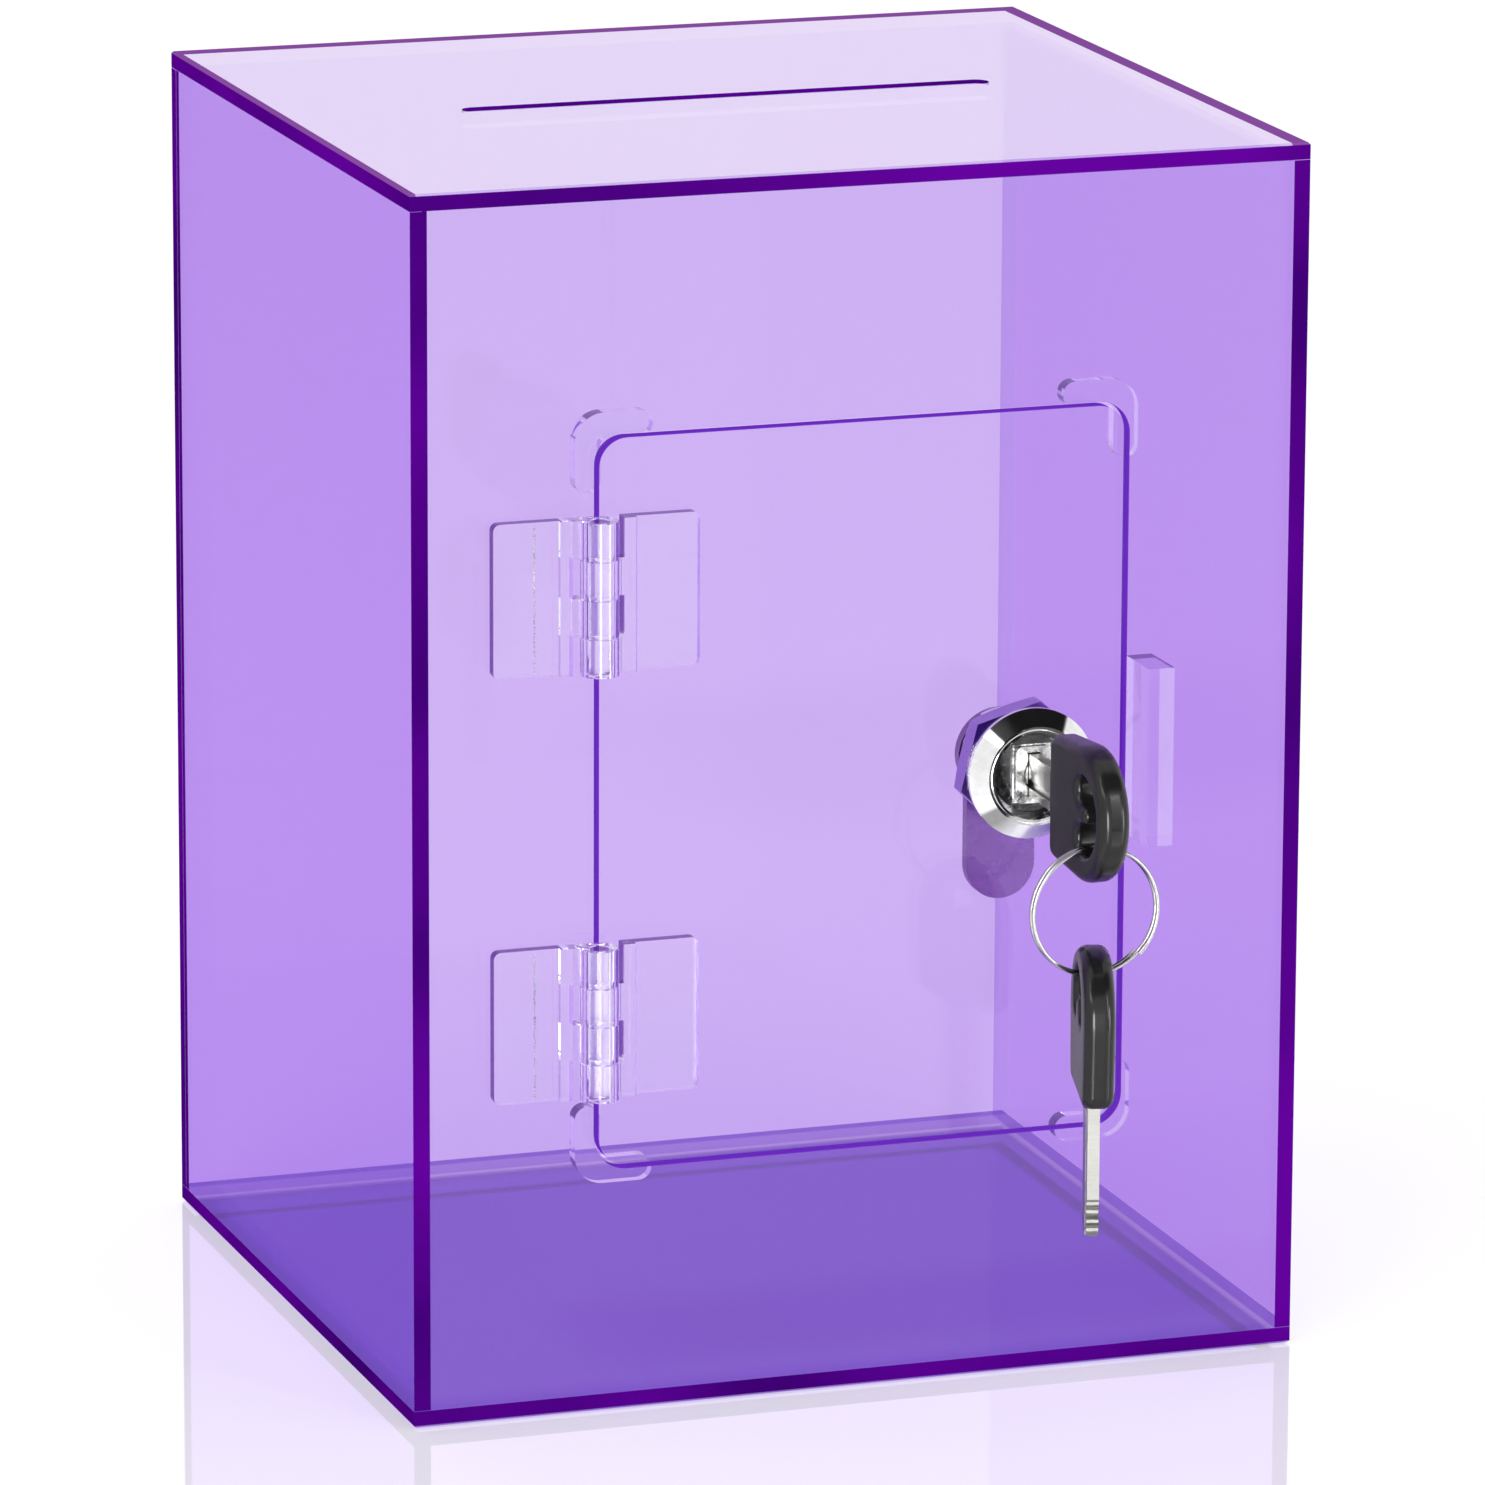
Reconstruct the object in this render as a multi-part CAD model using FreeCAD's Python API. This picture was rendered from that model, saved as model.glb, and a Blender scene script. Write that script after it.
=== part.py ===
import FreeCAD, Part
import math
import os

from FreeCAD import Vector

# Lockable donation box of tinted clear acrylic sheet, in millimetres.
# The origin is the centre of the base's underside, +Z is up and the door faces -Y.

# Case of cemented sheets
box_w = 154.0
box_d = 140.0
box_h = 205.0
sheet_t = 2.8
glue_t = 0.05
arris = 0.35

# Money slot in the top
slot_len = 93.0
slot_w = 4.5

# Doorway in the front, and the door set flush in it
doorway_w = 92.0
doorway_h = 123.0
doorway_r = 5.5
door_gap = 0.7

# Corner stops behind the doorway's corners
stop_arm = 13.2
stop_w = 4.3
stop_t = 2.8
stop_corner_r = 4.9
stop_inner_r = 1.0
stop_lap_x = 2.5
stop_lap_z = 3.0

# Catch block behind the front, which the cam turns behind
catch_w = 4.5
catch_depth = 10.7
catch_h = 30.3
catch_offset = 5.1

# Hinges: two moulded leaves and a pin each
hinge_spacing = 71.0
hinge_h = 25.6
knuckle_count = 4
knuckle_gap = 0.15
barrel_r = 3.2
barrel_lift = 0.2
leaf_reach = 17.5
leaf_t = 2.0
leaf_corner_r = 1.2
shoulder_reach = 6.5
shoulder_t = 3.0
leaf_cut_gap = 1.2
web_lift = 0.3
pin_r = 1.7
pin_end_inset = 0.2
pin_chamfer = 0.3
pin_fit = 0.02
pin_running_fit = 0.06

# Lock body, through a flatted hole in the door
lock_inset = 16.0
bezel_r = 11.0
bezel_rim_h = 0.8
bezel_h = 3.0
bezel_top_r = 8.35
groove_outer_r = 8.0
groove_depth = 0.4
lip_outer_r = 7.75
lip_inner_r = 7.35
barrel_thread_r = 8.0
barrel_flat = 7.4
lock_hole_fit = 0.06
running_fit = 0.05
nut_flats = 20.0
nut_t = 4.2
nut_turn = 16.0
nut_chamfer = 0.8
nut_fit = 0.02

# Plug that the key turns
plug_r = 5.8
flange_r = 6.5
flange_t = 1.4
plug_face = 0.4
boss_w = 6.4
boss_h = 9.6
boss_t = 1.3
boss_r = 1.2
keyway_w = 2.2
keyway_h = 7.6
keyway_end_wall = 1.2
tail_side = 7.0
tail_corner_r = 4.5
tail_fit = 0.05
tail_short = 0.2

# Wafers in the plug
wafer_count = 4
wafer_w = 4.6
wafer_h = 10.0
wafer_t = 0.8
wafer_pitch = 1.5
wafer_fit = 0.05
wafer_window_room = 0.1

# Stop washer, cam and the screw that holds them on the tail
turn_deg = 90.0
washer_t = 1.7
washer_r = 6.4
tongue_r = 7.9
tongue_deg = 30.0
tongue_play_deg = 1.0
rim_inner_r = 6.6
rim_short = 0.15
cam_t = 2.0
cam_w = 12.0
cam_hub_r = 7.5
cam_hook = 3.0
cam_clear = 0.3
screw_washer_r = 5.5
screw_washer_t = 0.8
screw_r = 2.0
screw_fit = 0.04
screw_len = 5.0
screw_head_r = 4.2
screw_head_h = 2.6
screw_recess_w = 1.0
screw_recess_len = 4.6
screw_recess_depth = 1.4

# Keys: steel blade in a moulded bow
blade_len = 23.5
blade_t = 2.0
blade_h = 7.2
blade_tip_h = 3.0
blade_tip_len = 1.2
blade_tip_clear = 2.4
blade_groove_w = 1.5
blade_groove_depth = 0.45
blade_groove_offset = 1.3
tang_len = 7.0
bitting = [0.7, 0.4, 0.9, 0.5]
bitting_land = 0.5
bow_len = 25.0
bow_t = 5.4
bow_front_r = 11.3
bow_taper_deg = 4.5
bow_edge_r = 1.9
bow_corner_r = 2.4
bow_hole_centre = 15.2
bow_hole_mid_r = 4.0
bow_hole_w = 5.0
bow_hole_edge_r = 1.3
collar_len = 1.0
collar_t = 3.6
collar_h = 9.0

# Split ring of two wire turns
ring_mid_r = 10.65
ring_wire_r = 0.35
ring_pitch = 1.12
ring_turns = 2
ring_hang = 6.85
ring_pivot_drop = 0.3

# Second key, hung on the ring
spare_drop = 1.3
spare_turn_deg = 15.0

# Places worked out from the sizes
front_y = -box_d / 2
back_y = box_d / 2
mid_z = box_h / 2
wall_low = sheet_t + glue_t
wall_high = box_h - sheet_t - glue_t
door_w = doorway_w - 2 * door_gap
door_h = doorway_h - 2 * door_gap
door_r = doorway_r - door_gap
hinge_axis_x = -doorway_w / 2 - door_gap / 2
barrel_stand = barrel_r + barrel_lift
leaf_cut = barrel_r + leaf_cut_gap
knuckle_pitch = hinge_h / knuckle_count
lock_x = door_w / 2 - lock_inset
catch_x = doorway_w / 2 + catch_offset
cam_front = sheet_t + glue_t + catch_depth + cam_clear
housing_len = cam_front - washer_t
cam_reach = catch_x + cam_hook - lock_x
keyway_end = housing_len - keyway_end_wall
tail_end = cam_front + cam_t - tail_short
boss_face = plug_face + boss_t
bow_stand = blade_len - (keyway_end - blade_tip_clear)
bow_centre = bow_len - bow_front_r
hole_low = bow_hole_mid_r + bow_hole_w / 2
bow_low = math.sqrt(bow_front_r ** 2 - (bow_hole_centre - bow_centre) ** 2)
rim_bar_z = mid_z - (hole_low + bow_low) / 2
ring_y = front_y - bow_stand - bow_hole_centre
ring_pivot_z = rim_bar_z - ring_pivot_drop
ring_z = ring_pivot_z - ring_hang
spare_pivot_z = ring_z - ring_mid_r

AXIS_X = Vector(1, 0, 0)
AXIS_Y = Vector(0, 1, 0)
AXIS_Z = Vector(0, 0, 1)
ORIGIN = Vector(0, 0, 0)


# Outline and placing helpers

def face_of(start, steps):
    """Flat face from a start point and steps: a point is a straight run, a pair is an arc through and to."""
    here = Vector(*start)
    edges = []
    for step in steps:
        if isinstance(step[0], tuple):
            through = Vector(*step[0])
            there = Vector(*step[1])
            edges.append(Part.Arc(here, through, there).toShape())
        else:
            there = Vector(*step)
            edges.append(Part.LineSegment(here, there).toShape())
        here = there
    return Part.Face(Part.Wire(edges))


def centred_box(w, d, low, high):
    """Block centred on the Z axis, from low to high."""
    return Part.makeBox(w, d, high - low, Vector(-w / 2, -d / 2, low))


def rod(r, low, high):
    """Cylinder on the Z axis, from low to high."""
    return Part.makeCylinder(r, high - low, Vector(0, 0, low), AXIS_Z)


def edges_along(shape, axis):
    """Straight edges that run along an axis."""
    found = []
    for edge in shape.Edges:
        if isinstance(edge.Curve, Part.Line) and abs(edge.Curve.Direction.dot(axis)) > 0.999:
            found.append(edge)
    return found


def rounded_plate(w, h, r, low, high):
    """Plate centred on the Z axis with round corners."""
    plate = centred_box(w, h, low, high)
    return plate.makeFillet(r, edges_along(plate, AXIS_Z))


def stadium(length, width, low, high):
    """Plate along X with half-round ends."""
    half = (length - width) / 2
    r = width / 2
    face = face_of((-half, -r, low), [
        (half, -r, low),
        ((half + r, 0, low), (half, r, low)),
        (-half, r, low),
        ((-half - r, 0, low), (-half, -r, low)),
    ])
    return face.extrude(Vector(0, 0, high - low))


def moved(shape, x, y, z):
    """Copy of a shape, carried by a vector."""
    copy = shape.copy()
    copy.translate(Vector(x, y, z))
    return copy


def on_front(shape, x, z):
    """Stand a shape drawn on XY up on the front's outer face: its Y goes up and its Z goes outwards."""
    copy = shape.copy()
    copy.rotate(ORIGIN, AXIS_X, 90)
    copy.translate(Vector(x, front_y, z))
    return copy


def fused(shapes):
    """One solid of several that overlap."""
    return shapes[0].multiFuse(shapes[1:]).removeSplitter().Solids[0]


def outer_edges_at(shape, z):
    """Straight edges of a panel that lie on the level z and on its outline."""
    box = shape.BoundBox
    found = []
    for edge in shape.Edges:
        mid = edge.valueAt((edge.FirstParameter + edge.LastParameter) / 2)
        on_side = min(abs(abs(mid.x) - box.XMax), abs(abs(mid.y) - box.YMax)) < 1e-6
        if abs(mid.z - z) < 1e-6 and on_side:
            found.append(edge)
    return found


# Case

def make_base_panel():
    panel = centred_box(box_w, box_d, 0, sheet_t)
    return panel.makeChamfer(arris, outer_edges_at(panel, 0))


def make_top_panel():
    low = box_h - sheet_t
    panel = centred_box(box_w, box_d, low, box_h)
    panel = panel.makeChamfer(arris, outer_edges_at(panel, box_h))
    return panel.cut(stadium(slot_len, slot_w, low - 1, box_h + 1))


def make_side_panel(side):
    deep = box_d - sheet_t - glue_t
    x = box_w / 2 - sheet_t if side > 0 else -box_w / 2
    return Part.makeBox(sheet_t, deep, wall_high - wall_low, Vector(x, front_y, wall_low))


def make_back_panel():
    low_corner = Vector(-box_w / 2, back_y - sheet_t, wall_low)
    return Part.makeBox(box_w, sheet_t, wall_high - wall_low, low_corner)


def make_front_panel():
    wide = box_w - 2 * (sheet_t + glue_t)
    panel = centred_box(wide, wall_high - wall_low, -sheet_t, 0)
    doorway = rounded_plate(doorway_w, doorway_h, doorway_r, -sheet_t - 1, 1)
    return on_front(panel.cut(doorway), 0, mid_z)


def make_corner_stop(side_x, side_z):
    # Drawn with its outer corner at the origin and its arms along +X and +Y.
    far = stop_arm - stop_w / 2
    w = stop_w
    bend = stop_corner_r * (1 - math.sqrt(0.5))
    inner = w + stop_inner_r * (1 - math.sqrt(0.5))
    face = face_of((stop_corner_r, 0, 0), [
        (far, 0, 0),
        ((stop_arm, w / 2, 0), (far, w, 0)),
        (w + stop_inner_r, w, 0),
        ((inner, inner, 0), (w, w + stop_inner_r, 0)),
        (w, far, 0),
        ((w / 2, stop_arm, 0), (0, far, 0)),
        (0, stop_corner_r, 0),
        ((bend, bend, 0), (stop_corner_r, 0, 0)),
    ])
    stop = face.extrude(Vector(0, 0, -stop_t))
    turn = {(-1, -1): 0, (1, -1): 90, (1, 1): 180, (-1, 1): 270}[(side_x, side_z)]
    stop.rotate(ORIGIN, AXIS_Z, turn)
    x = side_x * (doorway_w / 2 + stop_lap_x)
    z = side_z * (doorway_h / 2 + stop_lap_z)
    return on_front(moved(stop, x, z, -sheet_t - glue_t), 0, mid_z)


def make_catch_block():
    back = -sheet_t - glue_t - catch_depth
    block = Part.makeBox(catch_w, catch_h, catch_depth, Vector(catch_x, -catch_h / 2, back))
    return on_front(block, 0, mid_z)


# Door and hinges

def flatted_hole():
    """Round hole with two flats, which the lock body can't turn in."""
    room = barrel_thread_r + lock_hole_fit
    hole = rod(room, -sheet_t - 1, 1)
    return hole.common(centred_box(2 * (barrel_flat + lock_hole_fit), 3 * room, -sheet_t - 1, 1))


def make_door_panel():
    panel = rounded_plate(door_w, door_h, door_r, -sheet_t, 0)
    return on_front(panel.cut(moved(flatted_hole(), lock_x, 0, 0)), 0, mid_z)


def make_leaf(side, first_knuckle, lift, bore_r):
    """Hinge leaf on the plane y 0, pin over x 0: side -1 goes left, and lift keeps its webs off the plane."""
    plate_low = min(side * leaf_cut, side * leaf_reach)
    plate = Part.makeBox(leaf_reach - leaf_cut, leaf_t, hinge_h, Vector(plate_low, -leaf_t, 0))
    outer = [e for e in edges_along(plate, AXIS_Y) if abs(e.BoundBox.Center.x - side * leaf_reach) < 1e-6]
    plate = plate.makeFillet(leaf_corner_r, outer)
    shoulder_low = min(side * leaf_cut, side * shoulder_reach)
    shoulder_wide = shoulder_reach - leaf_cut
    shoulder = Part.makeBox(shoulder_wide, shoulder_t, hinge_h, Vector(shoulder_low, -shoulder_t, 0))
    pieces = [plate, shoulder]
    web_low = min(0, side * leaf_cut)
    for index in range(first_knuckle, knuckle_count, 2):
        low = index * knuckle_pitch + knuckle_gap / 2
        tall = knuckle_pitch - knuckle_gap
        pieces.append(Part.makeCylinder(barrel_r, tall, Vector(0, -barrel_stand, low), AXIS_Z))
        pieces.append(Part.makeBox(leaf_cut, shoulder_t - lift, tall, Vector(web_low, -shoulder_t, low)))
    bore = Part.makeCylinder(bore_r, hinge_h + 2, Vector(0, -barrel_stand, -1), AXIS_Z)
    return fused(pieces).cut(bore)


def make_hinge_pin():
    low = Vector(0, -barrel_stand, pin_end_inset)
    pin = Part.makeCylinder(pin_r, hinge_h - 2 * pin_end_inset, low, AXIS_Z)
    ends = [e for e in pin.Edges if isinstance(e.Curve, Part.Circle)]
    return pin.makeChamfer(pin_chamfer, ends)


def make_hinge(level):
    """Frame leaf, door leaf and pin of the hinge whose middle is at the given height."""
    pieces = [
        make_leaf(-1, 1, 0, pin_r + pin_fit),
        make_leaf(1, 0, web_lift, pin_r + pin_running_fit),
        make_hinge_pin(),
    ]
    return [moved(piece, hinge_axis_x, front_y - glue_t, level - hinge_h / 2) for piece in pieces]


# Lock, drawn about the Z axis with the door's outer face at z 0 and the outside at +Z

def sector(r, low, high, middle_deg, wide_deg):
    """Wedge of a cylinder about the Z axis."""
    wedge = Part.makeCylinder(r, high - low, Vector(0, 0, low), AXIS_Z, wide_deg)
    wedge.rotate(ORIGIN, AXIS_Z, middle_deg - wide_deg / 2)
    return wedge


def turned(points):
    """Solid turned about the Z axis from radius and height points."""
    outline = [Vector(r, 0, z) for r, z in points]
    wire = Part.makePolygon(outline + outline[:1])
    return Part.Face(wire).revolve(ORIGIN, AXIS_Z, 360)


def make_lock_housing():
    bore = plug_r + running_fit
    flange_bore = flange_r + running_fit
    flange_seat = plug_face - flange_t - running_fit
    body = turned([
        (bore, -housing_len),
        (barrel_thread_r, -housing_len),
        (barrel_thread_r, 0),
        (bezel_r, 0),
        (bezel_r, bezel_rim_h),
        (bezel_top_r, bezel_h),
        (groove_outer_r, bezel_h),
        (groove_outer_r, bezel_h - groove_depth),
        (lip_outer_r, bezel_h - groove_depth),
        (lip_outer_r, bezel_h),
        (lip_inner_r, bezel_h),
        (flange_bore, plug_face),
        (flange_bore, flange_seat),
        (bore, flange_seat),
    ])
    rim_end = -housing_len - washer_t + rim_short
    rim = rod(barrel_thread_r, rim_end, -housing_len).cut(rod(rim_inner_r, rim_end - 1, 1))
    window = turn_deg + tongue_deg + 2 * tongue_play_deg
    rim = rim.cut(sector(2 * barrel_thread_r, rim_end - 1, -housing_len, 180, window))
    body = fused([body, rim])
    behind = -housing_len - washer_t - 1
    waist = centred_box(2 * barrel_flat, 3 * bezel_r, behind, 0)
    front = rod(bezel_r + 1, 0, bezel_h + 1)
    return body.common(fused([waist, front])).Solids[0]


def make_lock_nut():
    corner_r = nut_flats / math.sqrt(3)
    points = []
    for step in range(7):
        angle = math.radians(nut_turn + 60 * step)
        points.append(Vector(corner_r * math.cos(angle), corner_r * math.sin(angle), 0))
    prism = Part.Face(Part.makePolygon(points)).extrude(Vector(0, 0, -nut_t))
    bevel = turned([
        (0, 0),
        (corner_r, 0),
        (corner_r, nut_chamfer - nut_t),
        (corner_r - nut_chamfer * math.sqrt(3), -nut_t),
        (0, -nut_t),
    ])
    nut = prism.common(bevel).cut(rod(barrel_thread_r + nut_fit, -nut_t - 1, 1))
    return moved(nut, 0, 0, -sheet_t)


def wafer_levels():
    """Middle of each wafer, from the front inwards."""
    first = plug_face - flange_t - wafer_pitch
    return [first - wafer_pitch * index for index in range(wafer_count)]


def make_lock_plug():
    flange = rod(flange_r, plug_face - flange_t, plug_face)
    barrel = rod(plug_r, -housing_len, plug_face)
    boss = rounded_plate(boss_w, boss_h, boss_r, plug_face - 1, boss_face)
    tail = centred_box(tail_side, tail_side, -tail_end, -housing_len + 1)
    tail = tail.common(rod(tail_corner_r, -tail_end, -housing_len + 1))
    plug = fused([flange, barrel, boss, tail])
    plug = plug.cut(centred_box(keyway_w, keyway_h, -keyway_end, boss_face + 1))
    room_w = wafer_w + 2 * wafer_fit
    room_h = wafer_h + 2 * wafer_fit
    half = wafer_t / 2 + wafer_fit
    for level in wafer_levels():
        plug = plug.cut(centred_box(room_w, room_h, level - half, level + half))
    return plug.cut(rod(screw_r + screw_fit, -tail_end - 1, -tail_end + screw_len))


def make_wafers():
    wafers = []
    window_w = keyway_w + 2 * wafer_window_room
    window_h = keyway_h + 2 * wafer_window_room
    for level in wafer_levels():
        low = level - wafer_t / 2
        high = level + wafer_t / 2
        wafer = centred_box(wafer_w, wafer_h, low, high)
        wafers.append(wafer.cut(centred_box(window_w, window_h, low - 1, high + 1)))
    return Part.makeCompound(wafers)


def tail_hole(low, high):
    side = tail_side + 2 * tail_fit
    return centred_box(side, side, low, high).common(rod(tail_corner_r + tail_fit, low, high))


def make_stop_washer():
    low = -cam_front
    high = -housing_len - running_fit
    disc = rod(washer_r, low, high)
    # The tongue starts at the upper end of the rim's window and travels a quarter turn down it.
    tongue = sector(tongue_r, low, high, 180 - turn_deg / 2, tongue_deg)
    return fused([disc, tongue]).cut(tail_hole(low - 1, high + 1))


def make_lock_cam():
    high = -cam_front
    low = high - cam_t
    end = cam_reach - cam_w / 2
    hub = rod(cam_hub_r, low, high)
    arm = Part.makeBox(cam_w, end, cam_t, Vector(-cam_w / 2, -end, low))
    tip = moved(rod(cam_w / 2, low, high), 0, -end, 0)
    return fused([hub, arm, tip]).cut(tail_hole(low - 1, high + 1))


def make_cam_washer():
    high = -cam_front - cam_t
    low = high - screw_washer_t
    return rod(screw_washer_r, low, high).cut(rod(screw_r + screw_fit, low - 1, high + 1))


def make_cam_screw():
    seat = -cam_front - cam_t - screw_washer_t
    top = seat - screw_head_h
    dome = math.sqrt(0.5) * screw_head_r
    head_edge = seat - screw_head_h / 3
    shank = rod(screw_r, seat - 1, -tail_end + screw_len - screw_fit)
    head = face_of((0, 0, seat), [
        (screw_head_r, 0, seat),
        (screw_head_r, 0, head_edge),
        ((dome, 0, (head_edge + 2 * top) / 3), (0, 0, top)),
        (0, 0, seat),
    ]).revolve(ORIGIN, AXIS_Z, 360)
    screw = fused([head, shank])
    floor = top + screw_recess_depth
    for wide, deep in ((screw_recess_w, screw_recess_len), (screw_recess_len, screw_recess_w)):
        screw = screw.cut(centred_box(wide, deep, top - 1, floor))
    return screw


# Keys, drawn as they stand in the lock: blade along -Z, bow at +Z in the YZ plane

def bitting_notch(level, depth, sign):
    """Cutter for one V-shaped notch with a flat floor, in the blade's upper or lower edge."""
    edge = sign * blade_h / 2
    floor = edge - sign * depth
    over = edge + sign * depth
    half = bitting_land / 2
    x = -blade_t
    face = face_of((x, floor, level - half), [
        (x, floor, level + half),
        (x, over, level + half + 2 * depth),
        (x, over, level - half - 2 * depth),
        (x, floor, level - half),
    ])
    return face.extrude(Vector(2 * blade_t, 0, 0))


def make_key_blade():
    tip = bow_stand - blade_len
    root = bow_stand + tang_len
    half = blade_h / 2
    x = -blade_t / 2
    blade = face_of((x, half, root), [
        (x, half, tip + blade_tip_len),
        (x, blade_tip_h / 2, tip),
        (x, -blade_tip_h / 2, tip),
        (x, -half, tip + blade_tip_len),
        (x, -half, root),
        (x, half, root),
    ]).extrude(Vector(blade_t, 0, 0))
    for level, upper, lower in zip(wafer_levels(), bitting, bitting[::-1]):
        blade = blade.cut(bitting_notch(level, upper, 1))
        blade = blade.cut(bitting_notch(level, lower, -1))
    for side in (-1, 1):
        groove = centred_box(2 * blade_groove_depth, blade_groove_w, tip - 1, bow_stand - collar_len)
        blade = blade.cut(moved(groove, side * blade_t / 2, side * blade_groove_offset, 0))
    return blade


def bow_outline():
    """D-shaped face of the bow: straight rear edge, tapering flanks and a round front."""
    lean = math.radians(bow_taper_deg)
    meet_z = bow_stand + bow_centre - bow_front_r * math.sin(lean)
    meet_y = bow_front_r * math.cos(lean)
    rear_y = meet_y - (meet_z - bow_stand) * math.tan(lean)
    x = -bow_t / 2
    return face_of((x, -rear_y, bow_stand), [
        (x, rear_y, bow_stand),
        (x, meet_y, meet_z),
        ((x, 0, bow_stand + bow_len), (x, -meet_y, meet_z)),
        (x, -rear_y, bow_stand),
    ])


def bow_hole():
    """Kidney-shaped hole, bent round the bow's middle like its front edge."""
    x = -bow_t / 2 - 1
    z = bow_stand + bow_hole_centre
    inner = bow_hole_mid_r - bow_hole_w / 2
    outer = bow_hole_mid_r + bow_hole_w / 2
    back = z - bow_hole_w / 2
    face = face_of((x, inner, z), [
        ((x, 0, z + inner), (x, -inner, z)),
        ((x, -bow_hole_mid_r, back), (x, -outer, z)),
        ((x, 0, z + outer), (x, outer, z)),
        ((x, bow_hole_mid_r, back), (x, inner, z)),
    ])
    return face.extrude(Vector(bow_t + 2, 0, 0))


def edges_on_faces(shape, x):
    """Edges that lie in one of the two flat faces, at -x and +x."""
    return [e for e in shape.Edges if e.BoundBox.XLength < 1e-6 and abs(abs(e.BoundBox.XMax) - x) < 1e-6]


def make_key_bow():
    bow = bow_outline().extrude(Vector(bow_t, 0, 0))
    rear = [e for e in edges_along(bow, AXIS_X) if abs(e.BoundBox.ZMax - bow_stand) < 1e-6]
    bow = bow.makeFillet(bow_corner_r, rear)
    bow = bow.makeFillet(bow_edge_r, edges_on_faces(bow, bow_t / 2))
    bow = bow.cut(bow_hole())
    inside = bow_hole_mid_r + bow_hole_w / 2 + 0.01
    rims = [e for e in edges_on_faces(bow, bow_t / 2) if max(e.BoundBox.YMax, -e.BoundBox.YMin) < inside]
    bow = bow.makeFillet(bow_hole_edge_r, rims)
    collar = rounded_plate(collar_t, collar_h, collar_t / 3, bow_stand - collar_len, bow_stand + 1)
    bow = fused([bow, collar])
    return bow.cut(centred_box(blade_t, blade_h, bow_stand - collar_len - 1, bow_stand + tang_len))


# Split ring

def biarc(p0, t0, p1, t1):
    """Two tangent arcs from a point and direction to another."""
    chord = p1 - p0
    both = t0 + t1
    bend = 2 * (1 - t0.dot(t1))
    along = chord.dot(both)
    reach = (math.sqrt(along ** 2 + bend * chord.dot(chord)) - along) / bend
    q0 = p0 + t0 * reach
    q1 = p1 - t1 * reach
    middle = (q0 + q1) * 0.5
    arcs = []
    for start, corner, end in ((p0, q0, middle), (middle, q1, p1)):
        weight = (end - start).Length / (2 * (corner - start).Length)
        through = (start + corner * (2 * weight) + end) * (1 / (2 * (1 + weight)))
        arcs.append(Part.Arc(start, through, end).toShape())
    return arcs


def ring_point(turn):
    """Place and direction on the ring's wire after a number of turns, about the Y axis."""
    angle = 2 * math.pi * turn - math.pi / 4
    drift = ring_pitch * (turn - ring_turns / 2)
    place = Vector(ring_mid_r * math.cos(angle), drift, ring_mid_r * math.sin(angle))
    rise = ring_pitch / (2 * math.pi)
    way = Vector(-ring_mid_r * math.sin(angle), rise, ring_mid_r * math.cos(angle))
    return place, way.normalize()


def make_split_ring():
    arcs = []
    for quarter in range(4 * ring_turns):
        p0, t0 = ring_point(quarter / 4)
        p1, t1 = ring_point((quarter + 1) / 4)
        arcs += biarc(p0, t0, p1, t1)
    start, way = ring_point(0)
    section = Part.Wire(Part.Circle(start, way, ring_wire_r).toShape())
    ring = Part.Wire(arcs).makePipeShell([section], True)
    return moved(ring, lock_x, ring_y, ring_z)


def ring_gap():
    """Least gap between the ring's turns, measured on points along the wire."""
    per_turn = 72
    points = [ring_point(step / per_turn)[0] for step in range(ring_turns * per_turn + 1)]
    least = min(
        (points[a] - points[b]).Length
        for a in range(len(points))
        for b in range(a + per_turn // 2, len(points))
    )
    return least - 2 * ring_wire_r


# Second key, hung from the top of its hole on the ring's lowest point

def hang(shape):
    hole_top = bow_stand + bow_hole_centre + bow_hole_mid_r + bow_hole_w / 2
    copy = moved(shape, 0, 0, spare_drop - hole_top)
    copy.rotate(ORIGIN, AXIS_Z, -spare_turn_deg)
    copy.translate(Vector(lock_x, ring_y, spare_pivot_z))
    return copy


def build():
    parts = {
        "base_panel": make_base_panel(),
        "top_panel": make_top_panel(),
        "left_side_panel": make_side_panel(-1),
        "right_side_panel": make_side_panel(1),
        "back_panel": make_back_panel(),
        "front_panel": make_front_panel(),
        "catch_block": make_catch_block(),
        "door_panel": make_door_panel(),
    }
    for height, side_z in (("upper", 1), ("lower", -1)):
        for hand, side_x in (("left", -1), ("right", 1)):
            parts[f"{height}_{hand}_stop"] = make_corner_stop(side_x, side_z)
        frame_leaf, door_leaf, pin = make_hinge(mid_z + side_z * hinge_spacing / 2)
        parts[f"{height}_hinge_frame_leaf"] = frame_leaf
        parts[f"{height}_hinge_door_leaf"] = door_leaf
        parts[f"{height}_hinge_pin"] = pin
    lock = {
        "lock_housing": make_lock_housing(),
        "lock_nut": make_lock_nut(),
        "lock_plug": make_lock_plug(),
        "lock_wafers": make_wafers(),
        "stop_washer": make_stop_washer(),
        "lock_cam": make_lock_cam(),
        "cam_washer": make_cam_washer(),
        "cam_screw": make_cam_screw(),
        "key_blade": make_key_blade(),
        "key_bow": make_key_bow(),
    }
    for name, shape in lock.items():
        parts[name] = on_front(shape, lock_x, mid_z)
    parts["split_ring"] = make_split_ring()
    parts["spare_key_blade"] = hang(lock["key_blade"])
    parts["spare_key_bow"] = hang(lock["key_bow"])
    return parts


os.makedirs("parts", exist_ok=True)
for name, shape in build().items():
    shape.exportStep(f"parts/{name}.step")
print("least gap between the ring's turns", round(ring_gap(), 3))
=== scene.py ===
import math

import bpy
from mathutils import Matrix, Vector


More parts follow.
